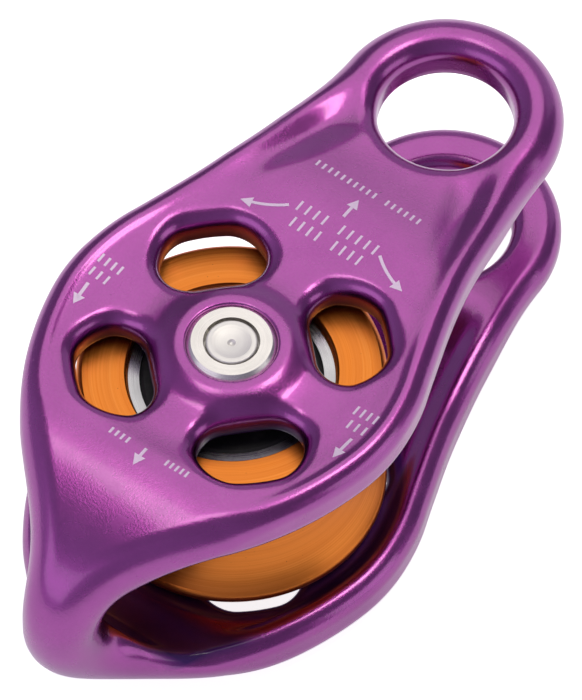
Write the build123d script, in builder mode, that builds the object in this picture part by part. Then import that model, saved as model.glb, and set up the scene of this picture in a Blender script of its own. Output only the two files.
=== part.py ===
"""Double-cheek rope pulley for arborist rigging: a one-piece forged frame with two attachment
eyes and a becket bar, and a wide sheave on two sealed ball bearings.

Frame: origin at the centre of the sheave, on the axle. +Z runs along the axle and out of the
front cheek, +Y points to the attachment eyes, +X lies across the cheeks. Millimetres.
"""

from build123d import *
from math import asin, cos, degrees, radians, sin
import os

os.makedirs("parts", exist_ok=True)

# ---------------------------------------------------------------- driving dimensions
# forged frame, in plan
CHEEK_R = 32.5  # round part of each cheek, about the axle
EYE_Y = 61.0  # centre of the attachment eyes
EYE_R = 19.7
EYE_HOLE_R = 11.4
SHOULDER_R = 60.0  # longer arc that carries the round cheek down to the bend
SHOULDER_FROM_DEG = 12.0

# forged frame, from the side
CHEEK_IN = 14.3  # inner faces, from mid-plane
CHEEK_OUT = 23.5  # outer faces
EYE_LEAN = 2.0  # how far the eyes lean in from the cheeks
LEAN_FROM_Y = 32.0
LEAN_TO_Y = 47.0
LEAN_BEND_R = 60.0
POCKET_R = 28.9  # recess for the sheave in each inner face
POCKET_FLOOR = 16.0
POCKET_ROUND = 0.9

# bend and becket bar; radii are from the bend's axis, which is parallel to X
BEND_Y = -30.0  # the flat cheeks end here
BAR_IN = 11.6
BAR_OUT = 24.3
BAR_HALF_X = 6.4
BAR_ROUND = 6.1
BEND_DRAFT = 2.6  # how much narrower the outside of the bend is, each side, half way round
BEND_ANGLES = (78, 66, 50, 34, 17, 0)

# axle boss and windows on each cheek
BOSS_R = 10.5
BOSS_TOP = 24.6
BOSS_ROUND = 0.9
WINDOW_COUNT = 4
WINDOW_IN = 13.2  # straight side, from the axle
WINDOW_OUT = 26.4  # curved side, about the axle
WINDOW_LENGTH = 18.7
WINDOW_CORNER = 5.4

# edge rounding of the forging
ROUND_OUT = 4.3
ROUND_IN = 3.1
ROUND_EYE = 2.6
ROUND_WINDOW = 2.4

# axle
AXLE_R = 7.5
AXLE_END = 24.5
AXLE_CHAMFER = 0.75
CORE_R = 4.7
CORE_HEAD_R = 4.3
CORE_HEAD_LENGTH = 2.2
CORE_END = 24.4
CORE_ROUND = 0.35
DISH_R = 14.0
DISH_DEPTH = 0.4
DIMPLE_R = 0.8
SPACER_R = 9.6
SPACER_CHAMFER = 0.3
FIT = 0.02  # radial clearance of pieces that fit each other

# sheave
SHEAVE_R = 25.7
SHEAVE_HALF_WIDTH = 15.5
TREAD_R = 20.9
GROOVE_HALF_WIDTH = 12.9
RIM_Z = 14.1  # where the rim is widest
RIM_DROP = 0.55  # from the rim's widest point to the edge of the groove
FACE_DROP = 1.0  # and to the side face
BORE_SHOULDER_R = 16.2
MOUTH_CHAMFER = 0.25

# bearings: 15 x 35 x 11 sealed ball bearings, one each side of a spacer
BEARING_OUT_R = 17.5
BEARING_WIDTH = 11.0
BEARING_GAP = 6.0  # between the two bearings
PITCH_R = 12.55
BALL_R = 2.975
BALL_COUNT = 8
RACE_GROOVE_R = 3.05
INNER_RACE_R = 10.2
OUTER_RACE_R = 14.8
SEAL_SEAT_R = 15.25
SEAL_SEAT_DEPTH = 1.25
SEAL_THICK = 0.8
CAGE_THICK = 0.45
CAGE_IN_R = 11.5
CAGE_OUT_R = 13.6
CAGE_BALL_GAP = 0.1
RIVET_R = 0.45
RIVET_HEAD_R = 0.75
RIVET_HEAD = 0.3
RACE_CHAMFER = 0.4
SEAL_LIP_GAP = 0.3


def save(part, name):
    """Label a finished piece and write it to its own file."""
    part.label = name
    export_step(part, f"parts/{name}.step")


# ---------------------------------------------------------------- forged frame
# The flank is one long hollow arc, upright where it leaves the eye and tangent to the round cheek.
flank_r = (EYE_Y**2 + EYE_R**2 - CHEEK_R**2) / (2 * (CHEEK_R - EYE_R))
flank_x = EYE_R + flank_r
flank_end = Vector(flank_x, EYE_Y).normalized() * CHEEK_R
flank_angle = degrees(asin((EYE_Y - flank_end.Y) / flank_r))
shoulder_start = Vector(CHEEK_R, 0).rotate(Axis.Z, -SHOULDER_FROM_DEG)
shoulder_centre = shoulder_start - shoulder_start.normalized() * SHOULDER_R
shoulder_to_deg = degrees(asin((shoulder_centre.Y - BEND_Y) / SHOULDER_R))
top_y = EYE_Y + EYE_R

with BuildSketch() as plan:
    with BuildLine():
        CenterArc((0, EYE_Y), EYE_R, 0, 90)
        CenterArc((flank_x, EYE_Y), flank_r, 180, flank_angle)
        ThreePointArc(flank_end, (CHEEK_R, 0), shoulder_start)
        shoulder_span = SHOULDER_FROM_DEG - shoulder_to_deg
        shoulder = CenterArc(shoulder_centre, SHOULDER_R, -SHOULDER_FROM_DEG, shoulder_span)
        Polyline(shoulder @ 1, (0, BEND_Y), (0, top_y))
    make_face()
    mirror(about=Plane.YZ)
bend_half_x = (shoulder @ 1).X

with BuildSketch(Plane.YZ) as cheek_side:
    with BuildLine():
        for level in (CHEEK_OUT, CHEEK_IN):
            FilletPolyline(
                (BEND_Y, level),
                (LEAN_FROM_Y, level),
                (LEAN_TO_Y, level - EYE_LEAN),
                (top_y, level - EYE_LEAN),
                radius=LEAN_BEND_R,
            )
        Line((BEND_Y, CHEEK_IN), (BEND_Y, CHEEK_OUT))
        Line((top_y, CHEEK_IN - EYE_LEAN), (top_y, CHEEK_OUT - EYE_LEAN))
    make_face()

with BuildSketch() as window:
    with Locations((WINDOW_IN + WINDOW_OUT / 2, 0)):
        Rectangle(WINDOW_OUT, WINDOW_LENGTH)
    Circle(WINDOW_OUT, mode=Mode.INTERSECT)
    fillet(window.vertices(), WINDOW_CORNER)


def off_axis(edge, x=0, y=0):
    """Distance in plan from (x, y) to the middle of an edge."""
    spot = edge @ 0.5
    return Vector(spot.X - x, spot.Y - y).length


def along_rim(edge):
    """True unless an edge runs through the cheek's thickness or straight across its face."""
    heading = edge % 0.5
    return abs(heading.Z) < 0.9 and abs(heading.X) < 0.999


with BuildPart() as cheek:
    extrude(cheek_side.sketch, CHEEK_R, both=True)
    extrude(plan.sketch, BOSS_TOP, mode=Mode.INTERSECT)
    rim = cheek.edges().filter_by(along_rim)
    fillet(rim.filter_by(lambda e: (e @ 0.5).Z > (CHEEK_IN + CHEEK_OUT) / 2), ROUND_OUT)
    rim = cheek.edges().filter_by(along_rim)
    fillet(rim.filter_by(lambda e: (e @ 0.5).Z < CHEEK_IN + 0.1), ROUND_IN)

    # eye
    with BuildSketch():
        with Locations((0, EYE_Y)):
            Circle(EYE_HOLE_R)
    extrude(amount=BOSS_TOP, mode=Mode.SUBTRACT)
    eye_edges = cheek.edges().filter_by(lambda e: off_axis(e, y=EYE_Y) < EYE_HOLE_R + 0.1)
    fillet(eye_edges.filter_by(along_rim), ROUND_EYE)

    # recess for the sheave
    with BuildSketch():
        Circle(POCKET_R)
    extrude(amount=POCKET_FLOOR, mode=Mode.SUBTRACT)
    pocket_edges = cheek.edges().filter_by(lambda e: abs(off_axis(e) - POCKET_R) < 0.1)
    fillet(pocket_edges.group_by(Axis.Z)[0], POCKET_ROUND)

    # windows
    with BuildSketch():
        with PolarLocations(0, WINDOW_COUNT, start_angle=45):
            add(window.sketch)
    extrude(amount=BOSS_TOP, mode=Mode.SUBTRACT)
    window_edges = cheek.edges().filter_by(lambda e: off_axis(e) < WINDOW_OUT + 0.1)
    fillet(window_edges.filter_by(along_rim), ROUND_WINDOW)

    # axle boss
    with BuildSketch(Plane.XY.offset(CHEEK_OUT - 1)):
        Circle(BOSS_R)
    extrude(amount=BOSS_TOP - CHEEK_OUT + 1)
    fillet(cheek.edges().filter_by(GeomType.CIRCLE).group_by(Axis.Z)[-1], BOSS_ROUND)
    Hole(AXLE_R + FIT)


def bend_section(angle):
    """Rounded section of the bend: angle 0 is the becket bar, +-90 where the bend meets a cheek."""
    turn = 1 - cos(radians(angle))
    inner = BAR_IN + (CHEEK_IN - BAR_IN) * turn
    outer = CHEEK_OUT + (BAR_OUT - CHEEK_OUT) * (1 - turn) ** 2
    half_in = BAR_HALF_X + (bend_half_x - BAR_HALF_X) * turn**0.88
    half_out = half_in - BEND_DRAFT * sin(radians(2 * angle)) ** 2
    round_in = BAR_ROUND + (ROUND_IN - BAR_ROUND) * min(1, 3 * turn)
    round_limit = min(0.93 * half_out, outer - inner - round_in - 0.2)
    round_out = min(ROUND_OUT + 6 * cos(radians(angle)), round_limit)
    outward = Vector(0, -cos(radians(angle)), sin(radians(angle)))
    with BuildSketch(Plane((0, BEND_Y, 0), x_dir=(1, 0, 0), z_dir=Vector(1, 0, 0).cross(outward))) as section:
        with BuildLine():
            Polyline((half_in, inner), (half_out, outer), (-half_out, outer), (-half_in, inner), close=True)
        make_face()
        fillet(section.vertices().group_by(Axis.Y)[0], round_in)
        fillet(section.vertices().group_by(Axis.Y)[-1], round_out)
    return section.sketch.face()


front_end = cheek.faces().sort_by(Axis.Y)[0]
with BuildPart() as body:
    add(cheek.part)
    mirror(about=Plane.XY)
    sections = [bend_section(a) for a in BEND_ANGLES + tuple(-a for a in reversed(BEND_ANGLES[:-1]))]
    loft([front_end, *sections, front_end.mirror(Plane.XY)])
save(body.part, "body")

# ---------------------------------------------------------------- axle
# A hollow sleeve is pressed into both cheeks and a core pin fills it; the pin's dished ends show.
with BuildPart() as axle_sleeve:
    Cylinder(AXLE_R, 2 * AXLE_END)
    chamfer(axle_sleeve.edges().filter_by(GeomType.CIRCLE), AXLE_CHAMFER)
    Hole(CORE_R + FIT)
save(axle_sleeve.part, "axle_sleeve")

with BuildPart() as axle_core_pin:
    Cylinder(CORE_R, 2 * (CORE_END - CORE_HEAD_LENGTH))
    Cylinder(CORE_HEAD_R, 2 * CORE_END)
    fillet(axle_core_pin.edges().filter_by(GeomType.CIRCLE).sort_by(Axis.Z)[0], CORE_ROUND)
    fillet(axle_core_pin.edges().filter_by(GeomType.CIRCLE).sort_by(Axis.Z)[-1], CORE_ROUND)
    with Locations((0, 0, CORE_END + DISH_R - DISH_DEPTH), (0, 0, -CORE_END - DISH_R + DISH_DEPTH)):
        Sphere(DISH_R, mode=Mode.SUBTRACT)
    with Locations((0, 0, CORE_END), (0, 0, -CORE_END)):
        Sphere(DIMPLE_R, mode=Mode.SUBTRACT)
save(axle_core_pin.part, "axle_core_pin")

# ---------------------------------------------------------------- spacers on the axle
bearing_in_z = BEARING_GAP / 2
bearing_out_z = bearing_in_z + BEARING_WIDTH

with BuildPart() as bearing_spacer:
    Cylinder(SPACER_R, BEARING_GAP - 2 * FIT)
    chamfer(bearing_spacer.edges().filter_by(GeomType.CIRCLE), SPACER_CHAMFER)
    Hole(AXLE_R + FIT)
save(bearing_spacer.part, "bearing_spacer")

with BuildPart(Plane.XY.offset((POCKET_FLOOR + bearing_out_z) / 2)) as front_spacer_washer:
    Cylinder(SPACER_R, POCKET_FLOOR - bearing_out_z - 2 * FIT)
    chamfer(front_spacer_washer.edges().filter_by(GeomType.CIRCLE), SPACER_CHAMFER)
    Hole(AXLE_R + FIT)
save(front_spacer_washer.part, "front_spacer_washer")
save(front_spacer_washer.part.mirror(Plane.XY), "rear_spacer_washer")

# ---------------------------------------------------------------- sheave
groove_depth = SHEAVE_R - RIM_DROP - TREAD_R
groove_r = (GROOVE_HALF_WIDTH**2 + groove_depth**2) / (2 * groove_depth)

with BuildPart() as sheave:
    with BuildSketch(Plane.XZ):
        with BuildLine():
            Polyline(
                (BORE_SHOULDER_R, 0),
                (BORE_SHOULDER_R, bearing_in_z - FIT),
                (BEARING_OUT_R + FIT, bearing_in_z - FIT),
                (BEARING_OUT_R + FIT, SHEAVE_HALF_WIDTH - MOUTH_CHAMFER),
                (BEARING_OUT_R + MOUTH_CHAMFER, SHEAVE_HALF_WIDTH),
                (SHEAVE_R - FACE_DROP, SHEAVE_HALF_WIDTH),
            )
            rim_in = (SHEAVE_R - RIM_DROP, GROOVE_HALF_WIDTH)
            ThreePointArc((SHEAVE_R - FACE_DROP, SHEAVE_HALF_WIDTH), (SHEAVE_R, RIM_Z), rim_in)
            RadiusArc(rim_in, (TREAD_R, 0), -groove_r)
            Line((TREAD_R, 0), (BORE_SHOULDER_R, 0))
        make_face()
        mirror(about=Plane.XZ)
    revolve(axis=Axis.Z)
save(sheave.part, "sheave")


# ---------------------------------------------------------------- bearings
# One bearing's pieces, centred on the origin with the side that faces out of the pulley at +Z.
half = BEARING_WIDTH / 2
seat_z = half - SEAL_SEAT_DEPTH

with BuildPart() as outer_race:
    Cylinder(BEARING_OUT_R, BEARING_WIDTH)
    chamfer(outer_race.edges().filter_by(GeomType.CIRCLE), RACE_CHAMFER)
    Cylinder(OUTER_RACE_R, BEARING_WIDTH, mode=Mode.SUBTRACT)
    with Locations((0, 0, (half + seat_z) / 2), (0, 0, -(half + seat_z) / 2)):
        Cylinder(SEAL_SEAT_R, SEAL_SEAT_DEPTH, mode=Mode.SUBTRACT)
    Torus(PITCH_R, RACE_GROOVE_R, mode=Mode.SUBTRACT)

with BuildPart() as inner_race:
    Cylinder(INNER_RACE_R, BEARING_WIDTH)
    chamfer(inner_race.edges().filter_by(GeomType.CIRCLE), RACE_CHAMFER)
    Hole(AXLE_R + FIT)
    Torus(PITCH_R, RACE_GROOVE_R, mode=Mode.SUBTRACT)

with BuildPart() as balls:
    with PolarLocations(PITCH_R, BALL_COUNT):
        Sphere(BALL_R)

# Pressed cage: two mirrored ribbons with a pocket over each ball, riveted between the pockets.
with BuildPart() as outer_cage_half:
    with BuildSketch(Plane.XY.offset(FIT / 2)) as ribbon:
        Circle(CAGE_OUT_R)
        Circle(CAGE_IN_R, mode=Mode.SUBTRACT)
    extrude(amount=CAGE_THICK)
    with PolarLocations(PITCH_R, BALL_COUNT):
        Sphere(BALL_R + CAGE_BALL_GAP + CAGE_THICK)
    extrude(ribbon.sketch, half, mode=Mode.INTERSECT)
    with PolarLocations(PITCH_R, BALL_COUNT):
        Sphere(BALL_R + CAGE_BALL_GAP, mode=Mode.SUBTRACT)
    with PolarLocations(PITCH_R, BALL_COUNT, start_angle=180 / BALL_COUNT):
        Cylinder(RIVET_R + FIT, half, mode=Mode.SUBTRACT)

rivet_head_z = CAGE_THICK + 2 * FIT + RIVET_HEAD / 2
with BuildPart() as cage_rivets:
    with PolarLocations(PITCH_R, BALL_COUNT, start_angle=180 / BALL_COUNT):
        Cylinder(RIVET_R, 2 * rivet_head_z)
        with Locations((0, 0, rivet_head_z), (0, 0, -rivet_head_z)):
            Cylinder(RIVET_HEAD_R, RIVET_HEAD)

with BuildPart() as outer_seal:
    with BuildSketch(Plane.XZ):
        with BuildLine():
            Polyline(
                (INNER_RACE_R + SEAL_LIP_GAP, seat_z + SEAL_THICK / 2),
                (INNER_RACE_R + SEAL_LIP_GAP, seat_z + SEAL_THICK),
                (INNER_RACE_R + 1.0, half - FIT),
                (SEAL_SEAT_R - 0.7, half - FIT),
                (SEAL_SEAT_R - FIT, seat_z + SEAL_THICK),
                (SEAL_SEAT_R - FIT, seat_z + FIT),
                (OUTER_RACE_R - 0.5, seat_z + FIT),
                (OUTER_RACE_R - 1.0, seat_z + SEAL_THICK / 2),
                close=True,
            )
        make_face()
    revolve(axis=Axis.Z)

bearing_z = bearing_in_z + half
for side, flip in (("front", 0), ("rear", 180)):
    place = Rot(flip, 0, 0) * Pos(0, 0, bearing_z)
    save(place * outer_race.part, f"{side}_outer_race")
    save(place * inner_race.part, f"{side}_inner_race")
    save(place * balls.part, f"{side}_balls")
    save(place * outer_cage_half.part, f"{side}_cage_outer_half")
    save(place * outer_cage_half.part.mirror(Plane.XY), f"{side}_cage_inner_half")
    save(place * cage_rivets.part, f"{side}_cage_rivets")
    save(place * outer_seal.part, f"{side}_outer_seal")
    save(place * outer_seal.part.mirror(Plane.XY), f"{side}_inner_seal")
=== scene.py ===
"""Looks for the rope pulley: its purple cheek body, sheave, bearings, axle and markings."""

from math import cos, radians, sin

import bpy
import numpy as np
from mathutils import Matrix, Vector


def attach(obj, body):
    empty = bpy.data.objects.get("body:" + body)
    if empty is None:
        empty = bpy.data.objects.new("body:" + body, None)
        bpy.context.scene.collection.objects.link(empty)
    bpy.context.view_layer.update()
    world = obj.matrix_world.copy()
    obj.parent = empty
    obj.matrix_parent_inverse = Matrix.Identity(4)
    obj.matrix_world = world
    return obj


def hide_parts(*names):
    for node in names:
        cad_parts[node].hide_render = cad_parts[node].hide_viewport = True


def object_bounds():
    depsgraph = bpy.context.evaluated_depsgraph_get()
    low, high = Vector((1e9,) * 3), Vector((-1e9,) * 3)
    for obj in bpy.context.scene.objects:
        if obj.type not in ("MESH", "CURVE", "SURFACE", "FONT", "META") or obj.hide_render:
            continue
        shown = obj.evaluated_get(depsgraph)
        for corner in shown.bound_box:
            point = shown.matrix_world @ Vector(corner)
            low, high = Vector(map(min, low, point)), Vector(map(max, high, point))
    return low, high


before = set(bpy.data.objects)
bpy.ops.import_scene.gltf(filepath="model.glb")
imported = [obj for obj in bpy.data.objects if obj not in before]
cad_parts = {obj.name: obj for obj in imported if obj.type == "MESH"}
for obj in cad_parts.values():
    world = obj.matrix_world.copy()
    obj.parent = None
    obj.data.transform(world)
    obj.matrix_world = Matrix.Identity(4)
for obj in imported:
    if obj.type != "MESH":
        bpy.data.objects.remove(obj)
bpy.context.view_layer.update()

import openvdb
from mathutils import Matrix, Vector
from numpy import clip, hypot, maximum, minimum, sqrt, where

MM = 0.001

# ---------------------------------------------------------------- body, in mm
# Front cheek: +Z. The body is the same on both sides of X = 0 and of Z = 0.
CHEEK_R = 32.5
EYE_Y, EYE_R, EYE_HOLE_R = 61.0, 19.7, 11.4
SHOULDER_R, SHOULDER_FROM = 60.0, radians(12)
CHEEK_IN, CHEEK_OUT = 14.3, 23.5
LEAN, LEAN_FROM, LEAN_TO = 2.0, 30.0, 50.0
POCKET_FLOOR = 16.0
BEND_Y, BEND_DRAFT = -30.0, 2.6
BAR_IN, BAR_OUT, BAR_HALF_X = 11.6, 24.3, 6.4
NOSE_Y = -24.0
BOSS_TOP, AXLE_R = 24.6, 7.5
WINDOW_IN, WINDOW_OUT, WINDOW_LENGTH, WINDOW_CORNER = 13.6, 25.7, 17.9, 5.6
FLANK_FULLER = 0.75

# Relief of the outer faces: how deep each shape lies under the crest
VALLEY, GROOVE, DOME, DISH, EYE_SLOPE = 1.15, 0.35, 0.5, 1.0, 0.4

# Radii of the rounded edges; BEND and EYE are added to the cheek's own
ROUND_CHEEK, ROUND_BEND, ROUND_EYE = 3.3, 2.9, 1.5
ROUND_INNER, ROUND_BAR = 3.3, 2.9
ROUND_HOLE_OUT, ROUND_HOLE_IN = 3.4, 2.4
ROUND_WINDOW_OUT, ROUND_WINDOW_IN = 3.2, 2.0
ROUND_BORE, BORE_GAP = 0.5, 0.05

VOXEL, QUICK_VOXEL = 0.42, 0.9

FLANK_R = (EYE_Y**2 + EYE_R**2 - CHEEK_R**2) / (2 * (CHEEK_R - EYE_R))
FLANK_X = EYE_R + FLANK_R
SHOULDER_X = -(SHOULDER_R - CHEEK_R) * cos(SHOULDER_FROM)
SHOULDER_Y = (SHOULDER_R - CHEEK_R) * sin(SHOULDER_FROM)
BEND_HALF_X = SHOULDER_X + sqrt(SHOULDER_R**2 - (BEND_Y - SHOULDER_Y) ** 2)
BAR_END_Y = BEND_Y - BAR_OUT


def step(low, high, v):
    t = clip((v - low) / (high - low), 0, 1)
    return t * t * (3 - 2 * t)


def cut(a, b, r):
    """What is inside both shapes, with their edge rounded to radius r."""
    rounded = hypot(maximum(a + r, 0), maximum(b + r, 0)) - r
    return where((a > -r) & (b > -r), rounded, maximum(a, b))


def ellipse(u, v, a, b):
    """Near enough the distance to an ellipse with half-axes a and b."""
    k0 = hypot(u / a, v / b)
    k1 = hypot(u / a**2, v / b**2) + 1e-9
    return k0 * (k0 - 1) / k1


def crested(u, v, a, b, power):
    """As ellipse, but flatter between its ends, for a power under 2."""
    u, v = abs(u) / a, abs(v) / b
    f = (u**power + v**power) ** (1 / power) + 1e-9
    slope = hypot((u / f) ** (power - 1) / a, (v / f) ** (power - 1) / b)
    return (f - 1) / slope


def outline(x, y):
    """Distance outside the cheek's plan: eye, flank, round middle and shoulder."""
    eye = hypot(x, y - EYE_Y) - EYE_R
    flank = FLANK_R - hypot(x - FLANK_X, y - EYE_Y)
    middle = hypot(x, y) - CHEEK_R
    shoulder = hypot(x - SHOULDER_X, y - SHOULDER_Y) - SHOULDER_R
    d = where(y * FLANK_X > EYE_Y * x, flank, middle)
    d = where(y < -x * np.tan(SHOULDER_FROM), shoulder, d)
    fuller = FLANK_FULLER * step(4, 22, y) * step(62, 44, y)
    return where(y > EYE_Y, eye, d - fuller)


def window(x, y):
    """Distance outside the window of this quarter: straight by the axle, curved outside."""
    across, along = (x + abs(y)) / sqrt(2), (x - abs(y)) / sqrt(2)
    side = cut(WINDOW_IN - across, abs(along) - WINDOW_LENGTH / 2, WINDOW_CORNER)
    return cut(side, hypot(x, y) - WINDOW_OUT, WINDOW_CORNER)


def hollow(x, y, inset):
    """How far the outer face lies under the crest of the cheek; the boss stands above it."""
    r = hypot(x, y)
    half = 9.0 + (48 - maximum(y, 20)) * 0.45 + (20 - minimum(y, 20)) * 0.3
    valley = VALLEY * step(17, 38, y) * step(58, 47, y) * step(-2, 5.5, x - half)
    groove = GROOVE * step(-28, -13, y) * step(24, 10, y)
    dome = DOME * step(2.5, 8, inset) * step(17, 31, r) * step(-27, -9, y)
    dish = DISH * step(28, 18, r) * step(9, 17.5, r)
    boss = (BOSS_TOP - CHEEK_OUT) * step(13.5, 8.8, r)
    under = valley * step(1.8, 7.5, inset) + groove * step(2.9, 4.6, inset)
    eye = EYE_SLOPE * step(12, 19, hypot(x, y - EYE_Y)) * step(48, 60, y)
    return under + dome + dish - boss + eye


def lean(y):
    return LEAN * step(LEAN_FROM, LEAN_TO, y)


def body_distance(x, y, z):
    x, z = abs(x), abs(z)
    down = maximum(BEND_Y - y, 0)
    rho = hypot(down, z) + 1e-9
    turn = 1 - down / rho
    sine = z / rho
    diagonal = (2 * sine * (1 - turn)) ** 2
    inner_r = BAR_IN + (CHEEK_IN - BAR_IN) * turn
    outer_r = CHEEK_OUT + (BAR_OUT - CHEEK_OUT) * (1 - turn) ** 2
    through = clip((rho - inner_r) / (outer_r - inner_r), 0, 1)
    half = BAR_HALF_X + (BEND_HALF_X - BAR_HALF_X) * turn**0.88
    half = half - BEND_DRAFT * through * diagonal
    bend_side = (x - half) / sqrt(1 + (0.75 * sine) ** 2)
    side = where(y < BEND_Y, bend_side, outline(x, y))
    inset = -side

    deep = hollow(x, y, inset)
    face = z - (CHEEK_OUT - lean(y) - deep)
    power = 2.1 - 0.3 * sine**2
    nose = crested(minimum(y - NOSE_Y, 0), z, NOSE_Y - BAR_END_Y, CHEEK_OUT, power)
    outer = where(y < NOSE_Y, nose + deep, face)

    pocket = step(3, 6.5, inset) * step(BEND_Y, BEND_Y + 9, y) * step(52, 40, y)
    cheek_in = CHEEK_IN - lean(y) + (POCKET_FLOOR - CHEEK_IN) * pocket - z
    inner = where(y < BEND_Y, -ellipse(down, z, BAR_IN, CHEEK_IN), cheek_in)

    edge = ROUND_CHEEK + ROUND_BEND * step(-19, -40, y) + ROUND_EYE * step(42, 56, y)
    d = cut(side, outer, edge)
    d = cut(d, inner, ROUND_INNER + ROUND_BAR * step(0.35, 0, turn))
    hole = EYE_HOLE_R - hypot(x, y - EYE_Y)
    d = cut(d, hole, where(z > 16.9, ROUND_HOLE_OUT, ROUND_HOLE_IN))
    d = cut(d, -window(x, y), where(z > 19, ROUND_WINDOW_OUT, ROUND_WINDOW_IN))
    return cut(d, AXLE_R + BORE_GAP - hypot(x, y), ROUND_BORE)


def body_mesh(voxel):
    """The body's surface: the distance on a grid of one quarter, mirrored, then meshed."""
    margin = 3 * voxel
    x = np.arange(voxel / 2, CHEEK_R + margin, voxel)[:, None, None]
    y = np.arange(BAR_END_Y - margin, EYE_Y + EYE_R + margin, voxel)[None, :, None]
    z = np.arange(voxel / 2, BOSS_TOP + margin, voxel)[None, None, :]
    quarter = clip(body_distance(*np.broadcast_arrays(x, y, z)), -margin, margin)
    half = np.concatenate([quarter[::-1], quarter])
    whole = np.concatenate([half[:, :, ::-1], half], axis=2)
    grid = openvdb.FloatGrid(margin)
    grid.copyFromArray(whole.astype(np.float32))
    points, quads = grid.convertToQuads(0.0)
    start = np.array([-x.max(), y.min(), -z.max()])
    points = start + points.astype(float) * voxel
    for _ in range(2):
        points = settle(points)
    return points, quads


def settle(points, h=0.02):
    """Moves points that are nearly on the body's surface onto it."""
    x, y, z = points.T
    here = body_distance(x, y, z)
    slope = np.stack([
        body_distance(x + h, y, z) - body_distance(x - h, y, z),
        body_distance(x, y + h, z) - body_distance(x, y - h, z),
        body_distance(x, y, z + h) - body_distance(x, y, z - h),
    ], axis=1) / (2 * h)
    shift = clip(here / maximum((slope**2).sum(1), 0.25), -0.2, 0.2)
    return points - slope * shift[:, None]


def add_mesh(name, points_mm, faces):
    mesh = bpy.data.meshes.new(name)
    mesh.from_pydata((np.asarray(points_mm) * MM).tolist(), [], np.asarray(faces).tolist())
    mesh.validate()
    piece = bpy.data.objects.new(name, mesh)
    bpy.context.collection.objects.link(piece)
    return piece


# ---------------------------------------------------------------- materials
class Shade:
    """A node material with short calls for the few nodes used here."""

    def __init__(self, name):
        self.material = bpy.data.materials.new(name)
        self.material.use_nodes = True
        self.nodes = self.material.node_tree.nodes
        self.links = self.material.node_tree.links
        self.shader = self.nodes["Principled BSDF"]
        self.place = self.nodes.new("ShaderNodeTexCoord").outputs["Object"]

    def put(self, socket, value):
        if isinstance(value, bpy.types.NodeSocket):
            self.links.new(value, socket)
        else:
            socket.default_value = value

    def set(self, **values):
        for name, value in values.items():
            self.put(self.shader.inputs[name.replace("_", " ")], value)
        return self

    def math(self, operation, a, b=0.0):
        node = self.nodes.new("ShaderNodeMath")
        node.operation = operation
        self.put(node.inputs[0], a)
        self.put(node.inputs[1], b)
        return node.outputs[0]

    def split(self, vector):
        node = self.nodes.new("ShaderNodeSeparateXYZ")
        self.put(node.inputs[0], vector)
        return node.outputs

    def join(self, x, y, z):
        node = self.nodes.new("ShaderNodeCombineXYZ")
        for socket, value in zip(node.inputs, (x, y, z)):
            self.put(socket, value)
        return node.outputs[0]

    def rings(self, stretch=0.0):
        """Coordinates that are the same all the way round the axle: radius, height."""
        x, y, z = self.split(self.place)
        radius = self.math("SQRT", self.math("ADD", self.math("MULTIPLY", x, x),
                                             self.math("MULTIPLY", y, y)))
        return self.join(radius, z, self.math("MULTIPLY", x, stretch))

    def noise(self, size_mm, detail=2.0, roughness=0.5, where_at=None):
        node = self.nodes.new("ShaderNodeTexNoise")
        self.put(node.inputs["Vector"], where_at or self.place)
        node.inputs["Scale"].default_value = 1000 / size_mm
        node.inputs["Detail"].default_value = detail
        node.inputs["Roughness"].default_value = roughness
        return node.outputs["Fac"]

    def spots(self, size_mm):
        node = self.nodes.new("ShaderNodeTexVoronoi")
        self.put(node.inputs["Vector"], self.place)
        node.inputs["Scale"].default_value = 1000 / size_mm
        return node.outputs["Distance"]

    def remap(self, value, low, high, to_low, to_high):
        node = self.nodes.new("ShaderNodeMapRange")
        for socket, number in zip(node.inputs, (value, low, high, to_low, to_high)):
            self.put(socket, number)
        return node.outputs[0]

    def mix(self, fac, a, b):
        node = self.nodes.new("ShaderNodeMix")
        node.data_type = "RGBA"
        self.put(node.inputs["Factor"], fac)
        self.put(node.inputs["A"], a)
        self.put(node.inputs["B"], b)
        return node.outputs["Result"]

    def bump(self, height, depth_mm, strength=1.0, after=None):
        node = self.nodes.new("ShaderNodeBump")
        node.inputs["Strength"].default_value = strength
        node.inputs["Distance"].default_value = depth_mm * MM
        self.put(node.inputs["Height"], height)
        if after is not None:
            self.put(node.inputs["Normal"], after)
        return node.outputs[0]


def rgb(r, g, b):
    """A linear colour from an sRGB one, each 0 to 255."""
    return tuple((v / 255 / 12.92 if v < 10.3 else ((v / 255 + 0.055) / 1.055) ** 2.4)
                 for v in (r, g, b)) + (1.0,)


def painted_recess_shade(s):
    """How much a point lies in a window, the sheave's recess or the bend, where a deep violet is
    painted in as shade.
    """
    x, y, z = s.split(s.place)
    height = s.math("ABSOLUTE", z)
    radius = s.split(s.rings())[0]
    cheek = s.math("MULTIPLY", s.remap(height, 0.0205, 0.018, 0, 1),
                   s.remap(radius, 0.0292, 0.0282, 0, 1))
    bend = s.math("MULTIPLY", s.remap(height, 0.0152, 0.0144, 0, 1),
                  s.remap(y, -0.022, -0.027, 0, 1))
    bend = s.math("MULTIPLY", bend, s.remap(radius, 0.0408, 0.0385, 0, 1))
    return s.math("MULTIPLY", s.math("MAXIMUM", cheek, bend), 0.85)


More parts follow.
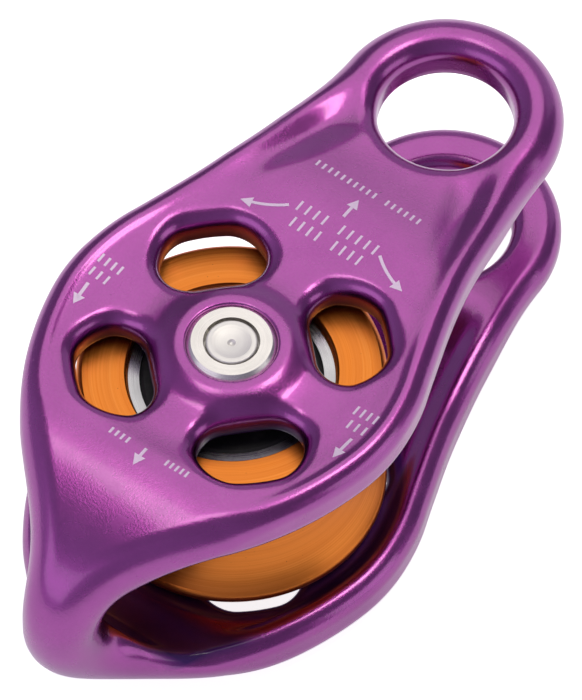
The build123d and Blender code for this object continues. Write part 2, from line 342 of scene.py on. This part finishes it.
def purple_anodised():
    s = Shade("purple_anodised_aluminium")
    blotch = s.remap(s.noise(9, 3), 0.35, 0.65, 0, 1)
    grain = s.noise(0.35, 3, 0.6)
    pits = s.remap(s.spots(2.6), 0.035, 0.06, 1, 0)
    sparse = s.remap(s.noise(12, 2), 0.56, 0.62, 0, 1)
    pits = s.math("MULTIPLY", pits, sparse)
    colour = s.mix(blotch, rgb(155, 61, 149), rgb(163, 69, 156))
    colour = s.mix(s.remap(grain, 0.3, 0.7, 0, 0.35), colour, rgb(182, 84, 176))
    colour = s.mix(s.math("MULTIPLY", pits, 0.6), colour, rgb(70, 20, 80))
    recess_shade = painted_recess_shade(s)
    # Painted shade: windows, the sheave's recess and the bend are darkened to deep violet; the
    # same mask also makes them rougher
    colour = s.mix(recess_shade, colour, rgb(46, 26, 106))
    rough = s.remap(s.noise(5, 4), 0.3, 0.7, 0.22, 0.29)
    rough = s.math("ADD", rough, s.math("MULTIPLY", recess_shade, 0.3))
    normal = s.bump(grain, 0.035, 0.8)
    normal = s.bump(s.math("SUBTRACT", 1, pits), 0.05, 0.8, normal)
    return s.set(Base_Color=colour, Metallic=1.0, Roughness=rough, Normal=normal,
                 Coat_Weight=0.72, Coat_Roughness=0.12, Coat_IOR=1.7).material


def orange_anodised():
    s = Shade("orange_anodised_aluminium")
    turned = s.noise(0.22, 3, 0.7, s.rings(0.01))
    broad = s.noise(1.6, 2, 0.5, s.rings(0.02))
    specks = s.remap(s.spots(1.1), 0.05, 0.09, 1, 0)
    specks = s.math("MULTIPLY", specks, s.remap(s.noise(3), 0.52, 0.6, 0, 1))
    colour = s.mix(s.remap(turned, 0.3, 0.7, 0, 1), rgb(226, 124, 38), rgb(246, 152, 64))
    colour = s.mix(s.remap(broad, 0.35, 0.65, 0, 0.5), colour, rgb(214, 112, 32))
    colour = s.mix(s.math("MULTIPLY", specks, 0.7), colour, rgb(110, 50, 15))
    rough = s.remap(turned, 0.3, 0.7, 0.28, 0.42)
    normal = s.bump(turned, 0.02, 0.6)
    return s.set(Base_Color=colour, Metallic=1.0, Roughness=rough, Normal=normal,
                 Coat_Weight=0.2, Coat_Roughness=0.25).material


def turned_steel(name, colour, low, high, line_mm, depth_mm, marks=0.3, contrast=0.35, metal=1.0):
    s = Shade(name)
    lines = s.noise(line_mm, 3, 0.7, s.rings(0.015))
    smudge = s.remap(s.noise(4, 4), 0.4, 0.65, 0, marks)
    dark = tuple(v * 0.62 for v in colour[:3]) + (1.0,)
    tint = s.mix(s.remap(lines, 0.35, 0.7, 0, contrast), colour, dark)
    tint = s.mix(smudge, tint, dark)
    rough = s.math("ADD", s.remap(lines, 0.3, 0.7, low, high), s.math("MULTIPLY", smudge, 0.25))
    return s.set(Base_Color=tint, Metallic=metal, Roughness=rough,
                 Normal=s.bump(lines, depth_mm, 0.6)).material


def ball_steel():
    s = Shade("polished_ball_steel")
    haze = s.noise(1.5, 3)
    return s.set(Base_Color=s.mix(haze, rgb(205, 206, 208), rgb(232, 232, 232)), Metallic=1.0,
                 Roughness=s.remap(haze, 0.3, 0.7, 0.06, 0.14),
                 Normal=s.bump(s.noise(0.4), 0.003, 0.3)).material


def seal_rubber():
    s = Shade("black_seal_rubber")
    grain = s.noise(0.3, 3, 0.6)
    dust = s.remap(s.noise(2.5, 5), 0.5, 0.75, 0, 0.5)
    return s.set(Base_Color=s.mix(dust, rgb(22, 22, 24), rgb(62, 60, 58)),
                 Roughness=s.remap(grain, 0.3, 0.7, 0.5, 0.7),
                 Normal=s.bump(grain, 0.02, 0.6)).material


def etched():
    s = Shade("laser_etched_mark")
    grain = s.noise(0.25, 3, 0.6)
    return s.set(Base_Color=s.mix(grain, rgb(222, 200, 228), rgb(244, 226, 246)), Metallic=0.85,
                 Roughness=s.remap(grain, 0.3, 0.7, 0.5, 0.65),
                 Normal=s.bump(grain, 0.01, 0.5)).material


def dress(node_name, material):
    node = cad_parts[node_name]
    for slot in node.material_slots:
        slot.material = material


# ---------------------------------------------------------------- body piece
points, quads = body_mesh(VOXEL)
body = add_mesh("cheek_body", points, quads)
body.data.shade_smooth()
body.data.materials.append(purple_anodised())
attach(body, "frame")
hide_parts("body")

dress("sheave", orange_anodised())
axle_ring = turned_steel("turned_axle_steel", rgb(236, 232, 228), 0.2, 0.32, 0.12, 0.01, 0.15, 0.2)
axle_disc = turned_steel("faced_axle_core", rgb(250, 247, 242), 0.4, 0.52, 0.3, 0.02, 0.1, 0.12,
                         metal=0.75)
bearing = turned_steel("ground_bearing_steel", rgb(206, 206, 208), 0.2, 0.32, 0.15, 0.008, 0.25)
spacer = turned_steel("turned_spacer_steel", rgb(176, 176, 178), 0.3, 0.42, 0.3, 0.02, 0.3)
cage = turned_steel("pressed_cage_steel", rgb(168, 166, 160), 0.3, 0.45, 0.8, 0.01, 0.4)
balls, rubber = ball_steel(), seal_rubber()
dress("axle_sleeve", axle_ring)
dress("axle_core_pin", axle_disc)
dress("bearing_spacer", spacer)
for end in ("front", "rear"):
    dress(end + "_spacer_washer", spacer)
    dress(end + "_outer_race", bearing)
    dress(end + "_inner_race", bearing)
    dress(end + "_balls", balls)
    for part in ("cage_outer_half", "cage_inner_half", "cage_rivets"):
        dress(end + "_" + part, cage)
    for part in ("outer_seal", "inner_seal"):
        dress(end + "_" + part, rubber)


# ---------------------------------------------------------------- markings
def face_height(x, y):
    past = clip((NOSE_Y - y) / (NOSE_Y - BAR_END_Y), 0, 1)
    top = CHEEK_OUT * (1 - past**1.8) ** (1 / 1.8)
    return top - lean(y) - hollow(abs(x), y, -outline(abs(x), y))


class Marks:
    """Plain bars and arrows etched on the front face, all in one mesh."""

    def __init__(self):
        self.points, self.faces = [], []

    def strip(self, centre, widths):
        """A band along the points of centre, with its width at each."""
        centre = np.asarray(centre, float)
        along = np.gradient(centre, axis=0)
        along /= hypot(*along.T)[:, None]
        across = np.stack([-along[:, 1], along[:, 0]], axis=1) * np.asarray(widths)[:, None] / 2
        first = len(self.points)
        for a, b in zip(centre - across, centre + across):
            for p in (a, b):
                top = float(face_height(*p)) + 0.03
                self.points += [(p[0], p[1], top), (p[0], p[1], top - 0.08)]
        last = len(centre) - 1
        for i in range(last):
            a, b = first + 4 * i, first + 4 * i + 4
            self.faces += [(a, b, b + 2, a + 2), (a + 1, a + 3, b + 3, b + 1),
                           (a, a + 1, b + 1, b), (a + 2, b + 2, b + 3, a + 3)]
        a, b = first, first + 4 * last
        self.faces += [(a, a + 2, a + 3, a + 1), (b, b + 1, b + 3, b + 2)]

    def bar(self, start, end, width=0.55):
        t = np.linspace(0, 1, 8)[:, None]
        self.strip(np.array(start) * (1 - t) + np.array(end) * t, [width] * 8)

    def arrow(self, start, end, sag=0.0):
        t = np.linspace(0, 1, 10)[:, None]
        start, end = np.array(start, float), np.array(end, float)
        side = np.array([start[1] - end[1], end[0] - start[0]])
        side /= hypot(*side)
        line = start * (1 - t) + end * t + side * sag * 4 * t * (1 - t)
        self.strip(line[:-2], [0.55] * 8)
        way = (line[-1] - line[-2]) / hypot(*(line[-1] - line[-2]))
        self.strip([line[-1] - way * 2.0, line[-1] - way, line[-1]], [2.1, 1.05, 0.02])

    def ticks(self, start, end, height, groups):
        """Groups of short upright bars spread between two points."""
        start, end = np.array(start, float), np.array(end, float)
        up = np.array([start[1] - end[1], end[0] - start[0]])
        up *= height / 2 / hypot(*up)
        places = sum(groups) + len(groups) - 1
        place = 0
        for group in groups:
            for _ in range(group):
                at = start + (end - start) * (place + 0.5) / places
                self.bar(at - up, at + up, 0.42)
                place += 1
            place += 1


marks = Marks()
marks.arrow((-8.7, 28.4), (-15.9, 24.7), 0.5)
marks.arrow((9.4, 28.8), (16.5, 25.1), -0.5)
marks.arrow((0, 31.7), (0, 36.1))
marks.ticks((-8, 29.3), (9, 29.3), 2.1, (4, 5))
marks.ticks((-7, 26.0), (8, 26.0), 2.1, (4, 4))
marks.ticks((-10.6, 38.5), (11, 38.5), 1.3, (10, 6))
for side in (-1, 1):
    marks.ticks((side * 25.8 - 2.6, 1.8), (side * 25.8 + 2.6, 1.8), 1.8, (4,))
    marks.ticks((side * 26.0 - 2.2, -1.1), (side * 26.0 + 2.2, -1.1), 1.8, (3,))
    marks.arrow((side * 26.6, -3.4), (side * 26.2, -8.2))
marks.arrow((0.5, -24.6), (0.5, -28.4))
marks.ticks((-6.8, -25.0), (-2.4, -25.0), 1.3, (4,))
marks.ticks((4.4, -25.0), (9.4, -25.0), 1.3, (5,))
etching = add_mesh("front_etched_marks", marks.points, marks.faces)
etching.data.materials.append(etched())
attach(etching, "frame")


# ---------------------------------------------------------------- stage
FLOOR_HALF, FLOOR_GAP = 3000, 0.02  # mm

SOFTBOXES = (  # name, direction from the pulley, distance, size, power, tint
    ("overhead", (-0.17, 0.39, 1), 1.1, (0.9, 1.2), 3.3, (1, 0.98, 0.9)),
    ("overhead_left", (-0.2, -0.12, 0.97), 0.95, (0.3, 0.26), 0.5, (1, 0.97, 0.84)),
    ("overhead_right", (0.22, 0.33, 0.9), 0.95, (0.26, 0.26), 1.0, (1, 0.97, 0.84)),
    ("right_fill", (0.9, 0.28, 0.24), 1.0, (0.6, 0.5), 0.8, (1, 0.98, 0.97)),
    ("front_fill", (-0.32, -0.88, 0.4), 1.0, (1.0, 0.5), 0.95, (0.98, 0.93, 1)),
    ("back_fill", (-0.2, 0.95, 0.3), 1.1, (1.3, 0.7), 0.8, (0.94, 0.9, 1)),
)

# The room's faint light: brighter from the front left than from elsewhere
ROOM_TINT, ROOM_FROM = (0.8, 0.74, 1.0, 1), (-0.45, -0.89, -0.1)
ROOM_LEVELS = (-0.2, 0.9, 0.22, 0.5)

CAMERA_TURN, CAMERA_RISE = radians(35.5), radians(56)
CAMERA_LENS, CAMERA_BACK = 871, 2.8
AIM_RIGHT, AIM_UP = 0.00975, 0.01223


def stage_floor():
    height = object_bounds()[0][2] / MM - FLOOR_GAP
    corners = [(-1, -1), (1, -1), (1, 1), (-1, 1)]
    floor = add_mesh("floor", [(x * FLOOR_HALF, y * FLOOR_HALF, height) for x, y in corners],
                     [(0, 1, 2, 3)])
    s = Shade("pale_floor")
    seen = s.nodes.new("ShaderNodeLightPath").outputs["Is Camera Ray"]
    s.set(Base_Color=rgb(244, 244, 246), Roughness=0.9, Emission_Color=(1, 1, 1, 1),
          Emission_Strength=s.remap(seen, 0, 1, 0.3, 0.85))
    floor.data.materials.append(s.material)


def softbox(name, direction, distance, size, power, tint):
    light = bpy.data.lights.new(name, "AREA")
    light.shape = "RECTANGLE"
    light.size, light.size_y = size
    light.energy = power
    light.color = tint
    lamp = bpy.data.objects.new(name, light)
    away = Vector(direction).normalized()
    lamp.location = away * distance
    lamp.rotation_euler = away.to_track_quat("Z", "Y").to_euler()
    bpy.context.collection.objects.link(lamp)


def studio():
    world = bpy.data.worlds.new("studio")
    bpy.context.scene.world = world
    world.use_nodes = True
    nodes, links = world.node_tree.nodes, world.node_tree.links
    nodes["Background"].inputs["Color"].default_value = ROOM_TINT
    toward = nodes.new("ShaderNodeVectorMath")
    toward.operation = "DOT_PRODUCT"
    toward.inputs[1].default_value = ROOM_FROM
    links.new(nodes.new("ShaderNodeTexCoord").outputs["Generated"], toward.inputs[0])
    level = nodes.new("ShaderNodeMapRange")
    for socket, number in zip(level.inputs[1:5], ROOM_LEVELS):
        socket.default_value = number
    links.new(toward.outputs["Value"], level.inputs[0])
    links.new(level.outputs[0], nodes["Background"].inputs["Strength"])
    white = nodes.new("ShaderNodeBackground")
    choose = nodes.new("ShaderNodeMixShader")
    links.new(nodes.new("ShaderNodeLightPath").outputs["Is Camera Ray"], choose.inputs[0])
    links.new(nodes["Background"].outputs[0], choose.inputs[1])
    links.new(white.outputs[0], choose.inputs[2])
    links.new(choose.outputs[0], nodes["World Output"].inputs[0])
    for box in SOFTBOXES:
        softbox(*box)


def camera():
    turn, rise = CAMERA_TURN, CAMERA_RISE
    right = Vector((cos(turn), sin(turn), 0))
    back = Vector((sin(turn) * cos(rise), -cos(turn) * cos(rise), sin(rise)))
    up = back.cross(right)
    data = bpy.data.cameras.new("camera")
    data.lens, data.sensor_width = CAMERA_LENS, 36
    data.clip_end = 20
    lens = bpy.data.objects.new("camera", data)
    place = right * AIM_RIGHT + up * AIM_UP + back * CAMERA_BACK
    turn_to = Matrix((right, up, back)).transposed()
    lens.matrix_world = Matrix.Translation(place) @ turn_to.to_4x4()
    bpy.context.collection.objects.link(lens)
    bpy.context.scene.camera = lens


bpy.context.scene.view_settings.view_transform = "Standard"
stage_floor()
studio()
camera()
